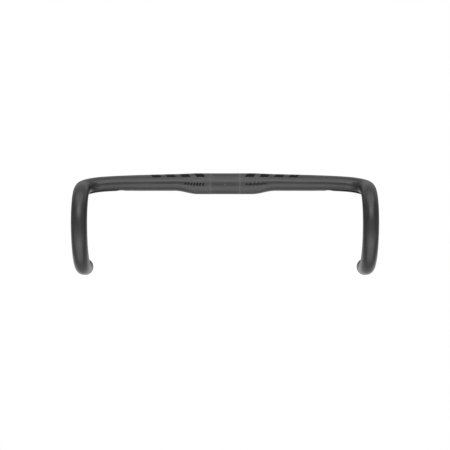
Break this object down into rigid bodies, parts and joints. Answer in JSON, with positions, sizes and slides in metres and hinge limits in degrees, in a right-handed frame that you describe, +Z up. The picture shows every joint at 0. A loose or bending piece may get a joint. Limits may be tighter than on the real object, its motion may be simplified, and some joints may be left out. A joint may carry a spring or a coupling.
{
  "type": "drop handlebar",
  "caption": "Compact drop handlebar with a round clamp barrel, oval swept tops, cable grooves, round hooks and expanding end plugs.",
  "frame": {"origin": "centre of the round clamp barrel, on its axis", "axes": "+X along the barrel towards the rider's left, -Y towards the front of the bicycle, +Z up with the drops' ends nearly level"},
  "size_m": [0.4588, 0.1231, 0.1559],
  "materials": {
    "carbon": "satin",
    "carbon_core": "matt",
    "plug_plastic": "satin",
    "expander_rubber": "matt",
    "cone_metal": "turned",
    "screw_steel": "black oxide"
  },
  "bodies": {
    "bar": {"centre_section": "carbon", "left_drop": "carbon", "right_drop": "carbon", "left_joint_sleeve": "carbon_core", "right_joint_sleeve": "carbon_core"},
    "left_end_plug": {"left_plug_cap": "plug_plastic", "left_plug_expander": "expander_rubber"},
    "left_screw": {"left_plug_screw": "screw_steel"},
    "left_cone": {"left_plug_cone": "cone_metal"},
    "right_end_plug": {"right_plug_cap": "plug_plastic", "right_plug_expander": "expander_rubber"},
    "right_screw": {"right_plug_screw": "screw_steel"},
    "right_cone": {"right_plug_cone": "cone_metal"}
  },
  "joints": [
    {"name": "left_plug_pull", "type": "slide", "parent": "bar", "child": "left_end_plug", "axis": [0.0785, 0.9967, -0.0226], "range_m": [0, 0.034]},
    {"name": "left_screw_turn", "type": "hinge", "parent": "left_end_plug", "child": "left_screw", "pos_m": [0.21669, 0.03704, -0.12729], "axis": [0.0785, 0.9967, -0.0226], "range_deg": [0, 1440]},
    {"name": "left_cone_travel", "type": "slide", "parent": "left_end_plug", "child": "left_cone", "axis": [-0.0785, -0.9967, 0.0226], "range_m": [0, 0.0028]},
    {"name": "right_plug_pull", "type": "slide", "parent": "bar", "child": "right_end_plug", "axis": [-0.0785, 0.9967, -0.0226], "range_m": [0, 0.034]},
    {"name": "right_screw_turn", "type": "hinge", "parent": "right_end_plug", "child": "right_screw", "pos_m": [-0.21669, 0.03704, -0.12729], "axis": [-0.0785, 0.9967, -0.0226], "range_deg": [0, 1440]},
    {"name": "right_cone_travel", "type": "slide", "parent": "right_end_plug", "child": "right_cone", "axis": [0.0785, -0.9967, 0.0226], "range_m": [0, 0.0028]}
  ],
  "couplings": [
    {"joint": "left_screw_turn", "follows": "left_cone_travel", "rad_per_m": 8975},
    {"joint": "right_screw_turn", "follows": "right_cone_travel", "rad_per_m": 8975}
  ]
}
